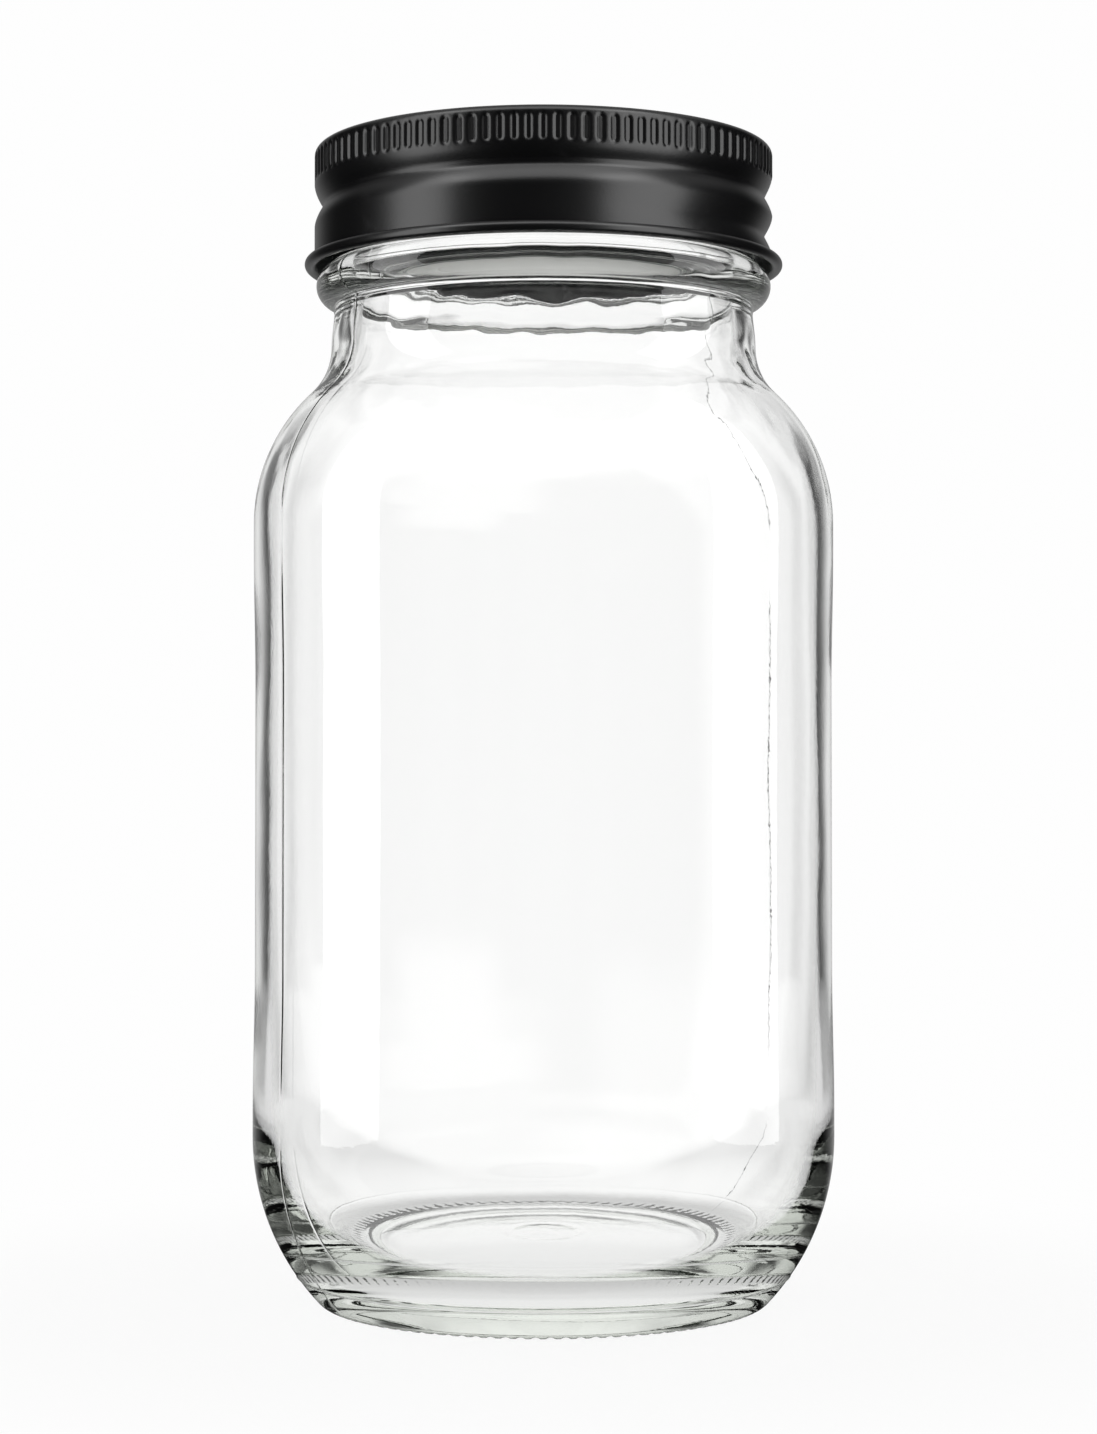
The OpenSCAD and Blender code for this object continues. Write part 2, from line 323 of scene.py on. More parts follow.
def blend(start, end, steps, level=False):
    """Points of an S-shaped run, upright at both ends, or level at both ends."""
    (x0, z0), (x1, z1) = start, end
    run = []
    for i in range(steps + 1):
        t = i / steps
        across, up = (t, smooth(t)) if level else (smooth(t), t)
        run.append((x0 + (x1 - x0) * across, z0 + (z1 - z0) * up))
    return run


def dome(radius, height, rise, steps):
    """Points of a shallow dome over the axis, from its top out to radius."""
    ball = (radius * radius + rise * rise) / (2 * rise)
    edge = math.asin(radius / ball)
    return [
        (ball * math.sin(edge * i / steps), height + rise - ball * (1 - math.cos(edge * i / steps)))
        for i in range(steps + 1)
    ]


def joined(*runs):
    """Runs end to end, without the points that repeat."""
    points = []
    for run in runs:
        for point in run:
            if not points or math.dist(points[-1], point) > 1e-7:
                points.append(point)
    return points


# ---------------------------------------------------------------------------
# Meshes turned about the jar's axis


def even_angles(count):
    return [TURN * i / count for i in range(count)]


def stitch(low, high, low_angles, high_angles):
    """Faces between two rings of vertices, which may have different counts."""
    if len(low) == 1:
        return [(low[0], high[(j + 1) % len(high)], high[j]) for j in range(len(high))]
    if len(high) == 1:
        return [(low[j], low[(j + 1) % len(low)], high[0]) for j in range(len(low))]
    if low_angles is high_angles:
        count = len(low)
        return [
            (low[j], low[(j + 1) % count], high[(j + 1) % count], high[j]) for j in range(count)
        ]
    faces = []
    i = j = 0
    while i < len(low) or j < len(high):
        next_low = low_angles[i + 1] if i + 1 < len(low) else TURN
        next_high = high_angles[j + 1] if j + 1 < len(high) else TURN
        if j >= len(high) or (i < len(low) and next_low <= next_high):
            faces.append((low[i], low[(i + 1) % len(low)], high[j % len(high)]))
            i += 1
        else:
            faces.append((low[i % len(low)], high[(j + 1) % len(high)], high[j]))
            j += 1
    return faces


def turned_mesh(name, rows, shape=None, closed=False):
    """A mesh turned about Z from rows of (radius, height, angles).

    A row of no radius is a pole. shape(row number, angle, radius, height) moves a point in the
    section. A closed section joins its last row to its first.
    """
    vertices, rings = [], []
    for number, (radius, height, angles) in enumerate(rows):
        if radius < 1e-7:
            rings.append([len(vertices)])
            vertices.append((0.0, 0.0, height))
            continue
        first = len(vertices)
        for turn in angles:
            r, z = shape(number, turn, radius, height) if shape else (radius, height)
            vertices.append((r * math.cos(turn), r * math.sin(turn), z))
        rings.append(list(range(first, len(vertices))))
    faces = []
    for k in range(len(rows) - 1):
        faces += stitch(rings[k], rings[k + 1], rows[k][2], rows[k + 1][2])
    if closed:
        faces += stitch(rings[-1], rings[0], rows[-1][2], rows[0][2])
    mesh = bpy.data.meshes.new(name)
    mesh.from_pydata(vertices, [], faces)
    mesh.validate()
    mesh.polygons.foreach_set("use_smooth", [True] * len(mesh.polygons))
    return face_outwards(mesh)


def face_outwards(mesh):
    """Turns a closed mesh's faces round if they point inwards."""
    volume = 0.0
    for polygon in mesh.polygons:
        corners = [mesh.vertices[v].co for v in polygon.vertices]
        for a, b in zip(corners[1:], corners[2:]):
            volume += corners[0].dot(a.cross(b))
    if volume < 0:
        mesh.flip_normals()
    return mesh


def add_piece(mesh):
    """A new object at the origin for a mesh."""
    made = bpy.data.objects.new(mesh.name, mesh)
    bpy.context.scene.collection.objects.link(made)
    return made


def helix_place(turn, height, top, top_angle, turns, pitch, fade):
    """Where a wall's point lies about a thread: pairs of height over it and its strength there."""
    places = []
    for lap in range(-1, int(turns) + 3):
        turned = top_angle - turn + TURN * lap
        if 0 < turned < turns * TURN:
            strength = smooth(min(turned, turns * TURN - turned) / fade)
            places.append((height - (top - pitch * turned / TURN), strength))
    return places


def rounded_thread(places, half_width):
    """A moulded thread's share of its height, full and round in section."""
    most = 0.0
    for above, strength in places:
        across = above / (half_width * max(strength, 0.05))
        if abs(across) < 1:
            most = max(most, strength * (0.5 + 0.5 * math.cos(math.pi * across)) ** 0.75)
    return most


def rolled_groove(places, half_width):
    """A rolled thread's share of its depth: a narrow bottom between wide soft shoulders."""
    most = 0.0
    for above, strength in places:
        across = math.hypot(above / half_width, 0.13) - 0.13
        if across < 1:
            most = max(most, strength * (1 - across) ** 1.6)
    return most


# ---------------------------------------------------------------------------
# Geometry Nodes


def knurling_tree(name, upright):
    """A tree that presses a ring of rounded knurls into a turned mesh.

    Upright knurls are pressed towards the axis into a wall. The others are pressed up into a
    level ring, and run along the radius.
    """
    tree = bpy.data.node_groups.new(name, "GeometryNodeTree")
    face = tree.interface
    face.new_socket("Geometry", in_out="INPUT", socket_type="NodeSocketGeometry")
    for socket, kind in (
        ("Count", "NodeSocketInt"),
        ("Depth", "NodeSocketFloat"),
        ("Start", "NodeSocketFloat"),
        ("End", "NodeSocketFloat"),
        ("Half Width", "NodeSocketFloat"),
        ("Inner Limit", "NodeSocketFloat"),
        ("Finish", "NodeSocketMaterial"),
    ):
        face.new_socket(socket, in_out="INPUT", socket_type=kind)
    face.new_socket("Geometry", in_out="OUTPUT", socket_type="NodeSocketGeometry")
    g = Graph(tree)
    given = g.node("NodeGroupInput")
    value = {s.name: Value(g, s) for s in given.outputs if s.name}
    x, y, z = g.split(g.out("GeometryNodeInputPosition"))
    radius = (x * x + y * y) ** 0.5
    pitch = TURN / value["Count"]
    turn = g.math("ARCTAN2", y, x) + TURN
    across = (abs(turn % pitch - pitch * 0.5)) * radius
    along = z if upright else radius
    half = (value["End"] - value["Start"]) * 0.5 - value["Half Width"]
    beyond = g.math("MAXIMUM", abs(along - (value["Start"] + value["End"]) * 0.5) - half, 0.0)
    distance = (across * across + beyond * beyond) ** 0.5
    press = g.step(distance, value["Half Width"] * 1.35, value["Half Width"] * 0.25)
    if upright:
        allowed = g.math("GREATER_THAN", radius, value["Inner Limit"])
        inward = press * allowed * value["Depth"] / radius
        offset = g.out(
            "ShaderNodeCombineXYZ", None, {0: x * inward * -1.0, 1: y * inward * -1.0, 2: 0.0}
        )
    else:
        allowed = g.math("LESS_THAN", z, value["Inner Limit"])
        offset = g.out("ShaderNodeCombineXYZ", None, {2: press * allowed * value["Depth"]})
    geometry = Value(g, given.outputs["Geometry"])
    moved = g.out("GeometryNodeSetPosition", None, {"Geometry": geometry, "Offset": offset})
    real = g.out("GeometryNodeRealizeInstances", None, {"Geometry": moved})
    finished = g.out(
        "GeometryNodeSetMaterial", None, {"Geometry": real, "Material": value["Finish"]}
    )
    g.node("NodeGroupOutput", None, {"Geometry": finished})
    return tree


def grown(piece, tree, **inputs):
    """The piece with a geometry tree's result as its plain mesh."""
    modifier = piece.modifiers.new("Shape", "NODES")
    modifier.node_group = tree
    sockets = {
        item.name: item.identifier
        for item in tree.interface.items_tree
        if item.item_type == "SOCKET" and item.in_out == "INPUT"
    }
    for name, given in inputs.items():
        modifier[sockets[name.replace("_", " ").title()]] = given
    graph = bpy.context.evaluated_depsgraph_get()
    result = bpy.data.meshes.new_from_object(
        piece.evaluated_get(graph), preserve_all_data_layers=True, depsgraph=graph
    )
    piece.modifiers.remove(modifier)
    before = piece.data
    result.name = piece.name
    piece.data = result
    bpy.data.meshes.remove(before)
    return piece


# ---------------------------------------------------------------------------
# Finishes


def new_material(name):
    """An empty material, its graph and its output node."""
    made = bpy.data.materials.new(name)
    made.use_nodes = True
    made.node_tree.nodes.clear()
    graph = Graph(made.node_tree)
    return made, graph, graph.node("ShaderNodeOutputMaterial")


def object_point(g):
    return g.out("ShaderNodeTexCoord", output=3)


def noise_at(g, point, scale, detail=2.0, roughness=0.5):
    """Noise of some features per metre, at a point."""
    sockets = {"Vector": point, "Scale": scale, "Detail": detail, "Roughness": roughness}
    return g.out("ShaderNodeTexNoise", None, sockets)


def uneven(g, drift, base, low, high):
    """A colour that drifts between two shares of itself."""
    return g.mix(drift, (*[c * low for c in base], 1.0), (*[c * high for c in base], 1.0))


def bump(g, height, distance, strength=1.0):
    sockets = {"Height": height, "Distance": distance, "Strength": strength}
    return g.out("ShaderNodeBump", None, sockets)


def clear_glass(glass):
    """Moulded glass with a faint ripple, a few smudges and a green-grey tint in its depth."""
    made, g, output = new_material("clear_glass")
    point = object_point(g)
    ripple = noise_at(g, point, 55.0, 1.0)
    pits = noise_at(g, point, 900.0, 2.0)
    relief = ripple + pits * 0.04
    smudge = g.step(noise_at(g, point, 28.0, 4.0, 0.65), 0.56, 0.80)
    shader = g.out(
        "ShaderNodeBsdfPrincipled",
        None,
        {
            "Base Color": grey(1.0),
            "Transmission Weight": 1.0,
            "IOR": 1.52,
            "Roughness": smudge * 0.03,
            "Normal": bump(g, relief, 0.00006),
        },
    )
    shadow_tint = (0.90, 0.925, 0.91, 1.0)
    clear = g.out("ShaderNodeBsdfTransparent", None, {"Color": shadow_tint})
    shadow_ray = g.out("ShaderNodeLightPath", output=1)
    surface = g.out("ShaderNodeMixShader", None, {0: shadow_ray, 1: shader, 2: clear})
    g.tree.links.new(surface.socket, output.inputs["Surface"])
    depth = g.out(
        "ShaderNodeVolumeAbsorption",
        None,
        {"Color": (*glass.tint, 1.0), "Density": glass.tint_density},
    )
    g.tree.links.new(depth.socket, output.inputs["Volume"])
    return made


def satin_black(name, base, roughness):
    """Satin lacquer over tinplate: fine orange peel, uneven gloss, a duller top, rubbed spots."""
    made, g, output = new_material(name)
    point = object_point(g)
    peel = noise_at(g, point, 2600.0, 2.0)
    drift = noise_at(g, point, 60.0, 3.0)
    top = g.step(g.split(g.out("ShaderNodeNewGeometry", output=1))[2], 0.90, 0.99)
    scuffs = g.step(noise_at(g, point, 240.0, 5.0, 0.7), 0.60, 0.78)
    tone = uneven(g, drift, base, 0.85, 1.25)
    rubbed = g.mix(scuffs * 0.35, tone, (*[c * 3.0 for c in base], 1.0))
    gloss = drift * 0.06 + scuffs * 0.08 + top * 0.30 + (roughness - 0.04)
    shader = g.out(
        "ShaderNodeBsdfPrincipled",
        None,
        {
            "Base Color": rubbed,
            "Roughness": gloss,
            "IOR": 1.5,
            "Specular IOR Level": 0.5,
            "Normal": bump(g, peel + scuffs * 0.4, 0.000012, 0.6),
        },
    )
    g.tree.links.new(shader.socket, output.inputs["Surface"])
    return made


def lid_lacquer(closure):
    """Black outside and pale inside, parted by which way the sheet faces."""
    made, g, output = new_material("lid_lacquer")
    point = object_point(g)
    up = g.split(g.out("ShaderNodeNewGeometry", output=1))[2]
    inside = g.step(up, -0.05, -0.25)
    peel = noise_at(g, point, 2600.0, 2.0)
    drift = noise_at(g, point, 70.0, 3.0)
    black = uneven(g, drift, closure.lacquer, 0.85, 1.25)
    pale = uneven(g, drift, closure.underside, 0.92, 1.0)
    shader = g.out(
        "ShaderNodeBsdfPrincipled",
        None,
        {
            "Base Color": g.mix(inside, black, pale),
            "Roughness": drift * 0.06 + 0.27,
            "Specular IOR Level": 0.5,
            "Normal": bump(g, peel, 0.000012, 0.6),
        },
    )
    g.tree.links.new(shader.socket, output.inputs["Surface"])
    return made


def matte_compound(closure):
    """Soft grey plastisol, slightly mottled."""
    made, g, output = new_material("sealing_compound")
    point = object_point(g)
    mottle = noise_at(g, point, 700.0, 4.0, 0.6)
    shader = g.out(
        "ShaderNodeBsdfPrincipled",
        None,
        {
            "Base Color": uneven(g, mottle, closure.compound, 0.85, 1.1),
            "Roughness": mottle * 0.1 + 0.5,
            "Normal": bump(g, mottle, 0.00003, 0.5),
        },
    )
    g.tree.links.new(shader.socket, output.inputs["Surface"])
    return made


# ---------------------------------------------------------------------------
# The glass


def seamed_angles(count, seams, half_width, radius):
    """Even angles, with extra ones across each seam."""
    across = [half_width * k / radius for k in (-2.4, -1.2, -0.5, 0.0, 0.5, 1.2, 2.4)]
    extra = [(seam + a) % TURN for seam in seams for a in across]
    clear = 3.2 * half_width / radius

    def near_seam(turn):
        gaps = [abs((turn - seam + math.pi) % TURN - math.pi) for seam in seams]
        return min(gaps) < clear

    return sorted([a for a in even_angles(count) if not near_seam(a)] + extra)


def bearing_outer_radius(s):
    """Radius at which the heel's edge meets the surface that the jar stands on."""
    reach = s.heel_radius - s.bearing_edge
    drop = s.heel_height - s.bearing_edge
    return GLASS_HIGH.x - s.heel_radius + math.sqrt(reach**2 - drop**2)


def bead_foot(s):
    """Where the transfer bead meets the neck: the angle on the bead, and the height."""
    bead_z = GLASS_HIGH.z - s.finish_height
    across = s.neck_radius - (s.bead_reach - s.bead_radius)
    turn = math.acos(across / s.bead_radius)
    return turn, bead_z - s.bead_radius * math.sin(turn)


def glass_profile(s):
    """The glass in section, as named runs of points from the inside floor round to the base."""
    body = GLASS_HIGH.x
    rim = GLASS_HIGH.z
    rim_edge = rim - s.rim_radius
    panel = body - s.panel_recess
    inner = panel - s.wall
    floor = inner - s.inner_heel
    heel_stretch = (s.inner_heel_top - s.floor_edge) / s.inner_heel
    bead_z = rim - s.finish_height
    bead_x = s.bead_reach - s.bead_radius
    bead_bottom, bead_foot_z = bead_foot(s)
    bead_top = math.acos((s.finish_radius - bead_x) / s.bead_radius)
    shoulder_x = body - s.shoulder_radius
    neck_foot = s.neck_radius + s.neck_flare
    hollow_x = neck_foot + s.hollow_radius
    hollow_z = bead_foot_z - s.neck_plain
    outer_reach = s.shoulder_radius + s.hollow_radius
    shoulder_z = hollow_z - math.sqrt(outer_reach**2 - (hollow_x - shoulder_x) ** 2)
    outer_turn = math.acos((hollow_x - shoulder_x) / outer_reach)
    inner_shoulder = inner - shoulder_x
    bore_foot = s.bore_radius + s.neck_flare
    inner_hollow = hollow_x - bore_foot
    inner_reach = inner_shoulder + inner_hollow
    inner_hollow_z = shoulder_z + math.sqrt(inner_reach**2 - (hollow_x - shoulder_x) ** 2)
    inner_turn = math.acos((hollow_x - shoulder_x) / inner_reach)
    heel_x = body - s.heel_radius
    heel_foot = math.asin((s.heel_height - s.bearing_edge) / (s.heel_radius - s.bearing_edge))
    bearing_out = bearing_outer_radius(s)
    bearing_in = bearing_out - s.bearing_width
    push_up_r = bearing_in - s.push_up_slope
    upper_band = shoulder_z - s.contact_band
    lower_band = s.heel_height + s.contact_band
    heel_ring = math.asin((s.heel_height - s.heel_ring) / s.heel_radius)
    ring_run = 0.6 * MM / s.heel_radius
    half_turn = math.pi
    quarter = math.pi / 2
    return {
        "floor": dome(floor, s.floor_edge, s.floor_dome, 14),
        "inner_heel": arc(floor, s.inner_heel_top, s.inner_heel, -quarter, 0, 24, heel_stretch),
        "inner_wall": line((inner, s.inner_heel_top), (inner, shoulder_z), 22),
        "inner_shoulder": arc(shoulder_x, shoulder_z, inner_shoulder, 0, inner_turn, 14),
        "inner_hollow": arc(
            hollow_x, inner_hollow_z, inner_hollow, half_turn + inner_turn, half_turn, 12
        ),
        "bore": joined(
            blend((bore_foot, inner_hollow_z), (s.bore_radius, bead_foot_z), 14),
            line((s.bore_radius, bead_foot_z), (s.bore_radius, rim_edge), 28),
        ),
        "rim": joined(
            arc(s.bore_radius + s.rim_radius, rim_edge, s.rim_radius, half_turn, quarter, 6),
            arc(s.finish_radius - s.rim_radius, rim_edge, s.rim_radius, quarter, 0, 6),
        ),
        "finish": line(
            (s.finish_radius, rim_edge),
            (s.finish_radius, bead_z + s.bead_radius * math.sin(bead_top)),
            36,
        ),
        "bead": arc(bead_x, bead_z, s.bead_radius, bead_top, -bead_bottom, 16),
        "neck": blend((s.neck_radius, bead_foot_z), (neck_foot, hollow_z), 26),
        "hollow": arc(hollow_x, hollow_z, s.hollow_radius, half_turn, half_turn + outer_turn, 12),
        "shoulder": arc(shoulder_x, shoulder_z, s.shoulder_radius, outer_turn, 0, 20),
        "upper_band": blend((body, upper_band), (panel, upper_band - s.panel_blend), 8),
        "panel": line(
            (panel, upper_band - s.panel_blend), (panel, lower_band + s.panel_blend), 12
        ),
        "lower_band": blend((panel, lower_band + s.panel_blend), (body, lower_band), 8),
        "heel": joined(
            arc(heel_x, s.heel_height, s.heel_radius, 0, -heel_ring + ring_run, 20),
            arc(
                heel_x,
                s.heel_height,
                s.heel_radius,
                -heel_ring + ring_run,
                -heel_ring - ring_run,
                8,
            ),
            arc(heel_x, s.heel_height, s.heel_radius, -heel_ring - ring_run, -heel_foot, 3),
        ),
        "bearing_edge": arc(
            bearing_out, s.bearing_edge, s.bearing_edge, -heel_foot, -quarter, 10
        ),
        "bearing": line((bearing_out, 0.0), (bearing_in, 0.0), 6),
        "slope": blend((bearing_in, 0.0), (push_up_r, s.push_up_edge), 8, level=True),
        "push_up": dome(push_up_r, s.push_up_edge, s.push_up - s.push_up_edge, 30)[::-1],
    }


INSIDE = ("floor", "inner_heel", "inner_wall", "inner_shoulder", "inner_hollow", "bore")
TICKED = ("bearing_edge", "bearing")


def glass_mesh(s):
    """The jar as one closed mesh: thread, seams, parting rings and an uneven inside."""
    seams = (s.seam_angle % TURN, (s.seam_angle + math.pi) % TURN)
    coarse = seamed_angles(240, seams, s.seam_width, GLASS_HIGH.x)
    fine = even_angles(s.tick_count * 6)
    rows, names = [], []
    for name, run in glass_profile(s).items():
        for r, z in run:
            if rows and math.dist(rows[-1][:2], (r, z)) < 1e-7:
                continue
            rows.append((r, z, fine if name in TICKED else coarse))
            names.append(name)
    neck_ring_z = bead_foot(s)[1] - s.neck_ring
    thread_top = GLASS_HIGH.z - s.thread_depth
    ring_reach = 0.28 * MM
    mark_radius = 5 * MM
    mark_reach = 0.6 * MM
    wave_size = 21 * MM
    neck_start = 118 * MM
    bore_start = 168 * MM

    def shape(number, turn, r, z):
        name = names[number]
        if name in INSIDE:
            point = Vector((math.cos(turn) * r, math.sin(turn) * r, z * 0.7)) / wave_size
            wave = noise.noise(point) + 0.45 * noise.noise(point * 2.7 + Vector((7, 3, 1)))
            if name in ("inner_shoulder", "inner_hollow", "bore"):
                # The inside is most uneven at the neck, and least at the mouth.
                rise = 1.0 + 3.5 * smooth((z - neck_start) / (20 * MM))
                rise *= 1.0 - 0.9 * smooth((z - bore_start) / (8 * MM))
                stretched = Vector((point.x * 7.0, point.y * 7.0, point.z * 9.0))
                return r + s.ripple * rise * (wave + 0.25 * noise.noise(stretched)), z
            if name in ("floor", "inner_heel"):
                away = smooth(r / (12 * MM))
                return r + s.ripple * away * wave * 1.2, z + s.ripple * wave * 1.6
            return r + s.ripple * wave, z
        if name == "finish":
            lean = s.thread_lean * (1 - math.cos(turn))
            places = helix_place(
                turn,
                z - lean,
                thread_top,
                s.thread_angle,
                s.thread_turns,
                s.thread_pitch,
                s.thread_fade,
            )
            stands = rounded_thread(places, s.thread_width / 2)
            return r + stands * (s.thread_crest - s.finish_radius), z
        lift = 0.0
        if name == "neck":
            lift = s.ring_height * smooth(1 - abs(z - neck_ring_z) / ring_reach)
        if name == "heel":
            lift = s.ring_height * smooth(1 - abs(z - s.heel_ring) / ring_reach)
            if z < s.heel_ring:
                lift -= 0.5 * s.ring_height * smooth((s.heel_ring - z) / ring_reach)
        if name == "push_up":
            mark = s.ring_height * smooth(1 - abs(r - mark_radius) / mark_reach)
            return r, z - mark
        if name not in ("rim", "bearing", "bearing_edge", "slope"):
            gap = min(abs((turn - seam + math.pi) % TURN - math.pi) for seam in seams) * r
            lift = max(lift, s.seam_height * smooth(1 - gap / (s.seam_width * 1.3)))
        inset = min(0.0, GLASS_HIGH.x - (r + lift))
        return r + lift + inset, z

    return turned_mesh("glass_jar", rows, shape)


class CANNING_JAR_OT_glass(bpy.types.Operator):
    """Build the glass jar"""

    bl_idname = "canning_jar.glass"
    bl_label = "Glass Jar"

    def execute(self, context):
        s = context.scene.jar_glass
        jar = add_piece(glass_mesh(s))
        tree = knurling_tree("Bearing Ring Knurls", upright=False)
        bearing_out = bearing_outer_radius(s)
        grown(
            jar,
            tree,
            count=s.tick_count,
            depth=s.tick_depth,
            start=bearing_out - s.bearing_width * 0.3,
            end=bearing_out + s.bearing_edge * 0.5,
            half_width=math.pi * bearing_out / s.tick_count * 0.55,
            inner_limit=s.bearing_edge * 0.6,
            finish=clear_glass(s),
        )
        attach(jar, "jar")
        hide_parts("jar")
        return {"FINISHED"}


# ---------------------------------------------------------------------------
# The lid and its compound


class CANNING_JAR_OT_lid(bpy.types.Operator):
    """Build the flat lid"""

    bl_idname = "canning_jar.lid"
    bl_label = "Flat Lid"

    def execute(self, context):
        c = context.scene.jar_closure
        glass = context.scene.jar_glass
        outer = LID_HIGH.x
        top = LID_HIGH.z
        bottom = LID_LOW.z
        panel = top - 0.9 * MM
        step_out = glass.bore_radius - 0.4 * MM - c.sheet
        step_in = step_out - 1.6 * MM
        edge = 0.3 * MM
        button_r = 13 * MM
        button_rise = 0.4 * MM
        ring_r = 21 * MM
        ring_half = 0.9 * MM

        def surface(offset, step_shift):
            """The lid's upper surface, or its lower one with the sheet's offset."""
            ring_z = panel + 0.25 * MM
            return joined(
                dome(button_r, panel - offset, button_rise, 12),
                line((button_r, panel - offset), (ring_r - ring_half, panel - offset), 3),
                blend(
                    (ring_r - ring_half, panel - offset), (ring_r, ring_z - offset), 5, level=True
                ),
                blend(
                    (ring_r, ring_z - offset), (ring_r + ring_half, panel - offset), 5, level=True
                ),
                line(
                    (ring_r + ring_half, panel - offset), (step_in + step_shift, panel - offset), 3
                ),
                blend(
                    (step_in + step_shift, panel - offset),
                    (step_out + step_shift, top - offset),
                    8,
                    level=True,
                ),
            )

        quarter = math.pi / 2
        rim = joined(
            arc(outer - edge, top - edge, edge, quarter, 0, 6),
            line((outer, top - edge), (outer, bottom), 3),
            line((outer - c.sheet, bottom), (outer - c.sheet, top - c.sheet), 3),
        )
        section = joined(surface(0.0, 0.0), rim, surface(c.sheet, c.sheet)[::-1])
        angles = even_angles(192)
        mesh = turned_mesh("flat_lid", [(r, z, angles) for r, z in section])
        mesh.materials.append(lid_lacquer(c))
        lid = add_piece(mesh)
        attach(lid, "lid")
        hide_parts("lid_disc")
        return {"FINISHED"}


class CANNING_JAR_OT_compound(bpy.types.Operator):
    """Build the ring of sealing compound"""

    bl_idname = "canning_jar.compound"
    bl_label = "Sealing Compound"

    def execute(self, context):
        c = context.scene.jar_closure
        outer = COMPOUND_HIGH.x
        inner = outer - 3.3 * MM
        low, high = COMPOUND_LOW.z, COMPOUND_HIGH.z
        round_r = 0.25 * MM
        quarter = math.pi / 2
        section = joined(
            [(inner, high), (outer, high)],
            arc(outer - round_r, low + round_r, round_r, 0, -quarter, 4),
            line((outer - round_r, low), (inner + round_r, low), 6),
            arc(inner + round_r, low + round_r, round_r, -quarter, -2 * quarter, 4),
        )
        angles = even_angles(192)
        rows = [(r, z, angles) for r, z in section]
        mesh = turned_mesh("compound_ring", rows, closed=True)
        mesh.materials.append(matte_compound(c))
        ring = add_piece(mesh)
        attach(ring, "lid")
        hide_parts("sealing_compound")
        return {"FINISHED"}


# ---------------------------------------------------------------------------
# The screw band


def band_mesh(c, pitch, lean):
    """The band's sheet, turned, with its rolled thread pressed into both faces."""
    top = BAND_HIGH.z
    curl_z = BAND_LOW.z + c.curl_radius
    wall = c.wall_radius
    inside = wall - c.sheet
    curl_x = inside + c.curl_radius
    corner_x = wall - c.corner_radius
    corner_z = top - c.corner_radius
    knurl_foot = corner_z - 5.6 * MM
    curl_top = curl_z + 0.4 * MM
    quarter = math.pi / 2
    tight = c.curl_radius - c.sheet
    fine = even_angles(c.knurl_count * 10)
    plain = even_angles(c.knurl_count * 2)
    hem = c.sheet / 2
    outer = joined(
        line((c.hole_radius + hem, top), (corner_x, top), 4),
        arc(corner_x, corner_z, c.corner_radius, quarter, 0, 7),
        line((wall, corner_z), (wall, knurl_foot), 22),
        line((wall, knurl_foot), (wall, curl_top), 26),
        arc(curl_x, curl_z, tight, math.pi, math.pi + c.curl_angle, 14),
    )
    inner = joined(
        arc(curl_x, curl_z, c.curl_radius, math.pi + c.curl_angle, math.pi, 22),
        line((inside, curl_top), (inside, corner_z), 32),
        arc(corner_x, corner_z, c.corner_radius - c.sheet, 0, quarter, 5),
        line((corner_x, top - c.sheet), (c.hole_radius + hem, top - c.sheet), 4),
        arc(c.hole_radius + hem, top - hem, hem, -quarter, -3 * quarter, 4),
    )
    rows = [(r, z, fine) for r, z in outer] + [(r, z, plain) for r, z in inner]
    walls = (wall, inside)

    def shape(number, turn, r, z):
        if min(abs(r - w) for w in walls) > 1e-6 or z < curl_z:
            return r, z
        places = helix_place(
            turn,
            z - lean * (1 - math.cos(turn)),
            top - c.roll_top,
            c.roll_angle,
            c.roll_turns,
            pitch,
            c.roll_fade,
        )
        return r - rolled_groove(places, c.roll_width / 2) * c.roll_depth, z

    return turned_mesh("band", rows, shape, closed=True)


class CANNING_JAR_OT_band(bpy.types.Operator):
    """Build the screw band"""

    bl_idname = "canning_jar.band"
    bl_label = "Screw Band"

    def execute(self, context):
        c = context.scene.jar_closure
        glass = context.scene.jar_glass
        band = add_piece(band_mesh(c, glass.thread_pitch, glass.thread_lean))
        tree = knurling_tree("Band Knurls", upright=True)
        top = BAND_HIGH.z - c.knurl_top
        grown(
            band,
            tree,
            count=c.knurl_count,
            depth=c.knurl_depth,
            start=top - c.knurl_length,
            end=top,
            half_width=c.knurl_width,
            inner_limit=c.wall_radius - c.sheet / 2,
            finish=satin_black("band_lacquer", tuple(c.lacquer), 0.30),
        )
        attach(band, "screw_band")
        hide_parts("screw_band")
        return {"FINISHED"}


# ---------------------------------------------------------------------------
# The stage


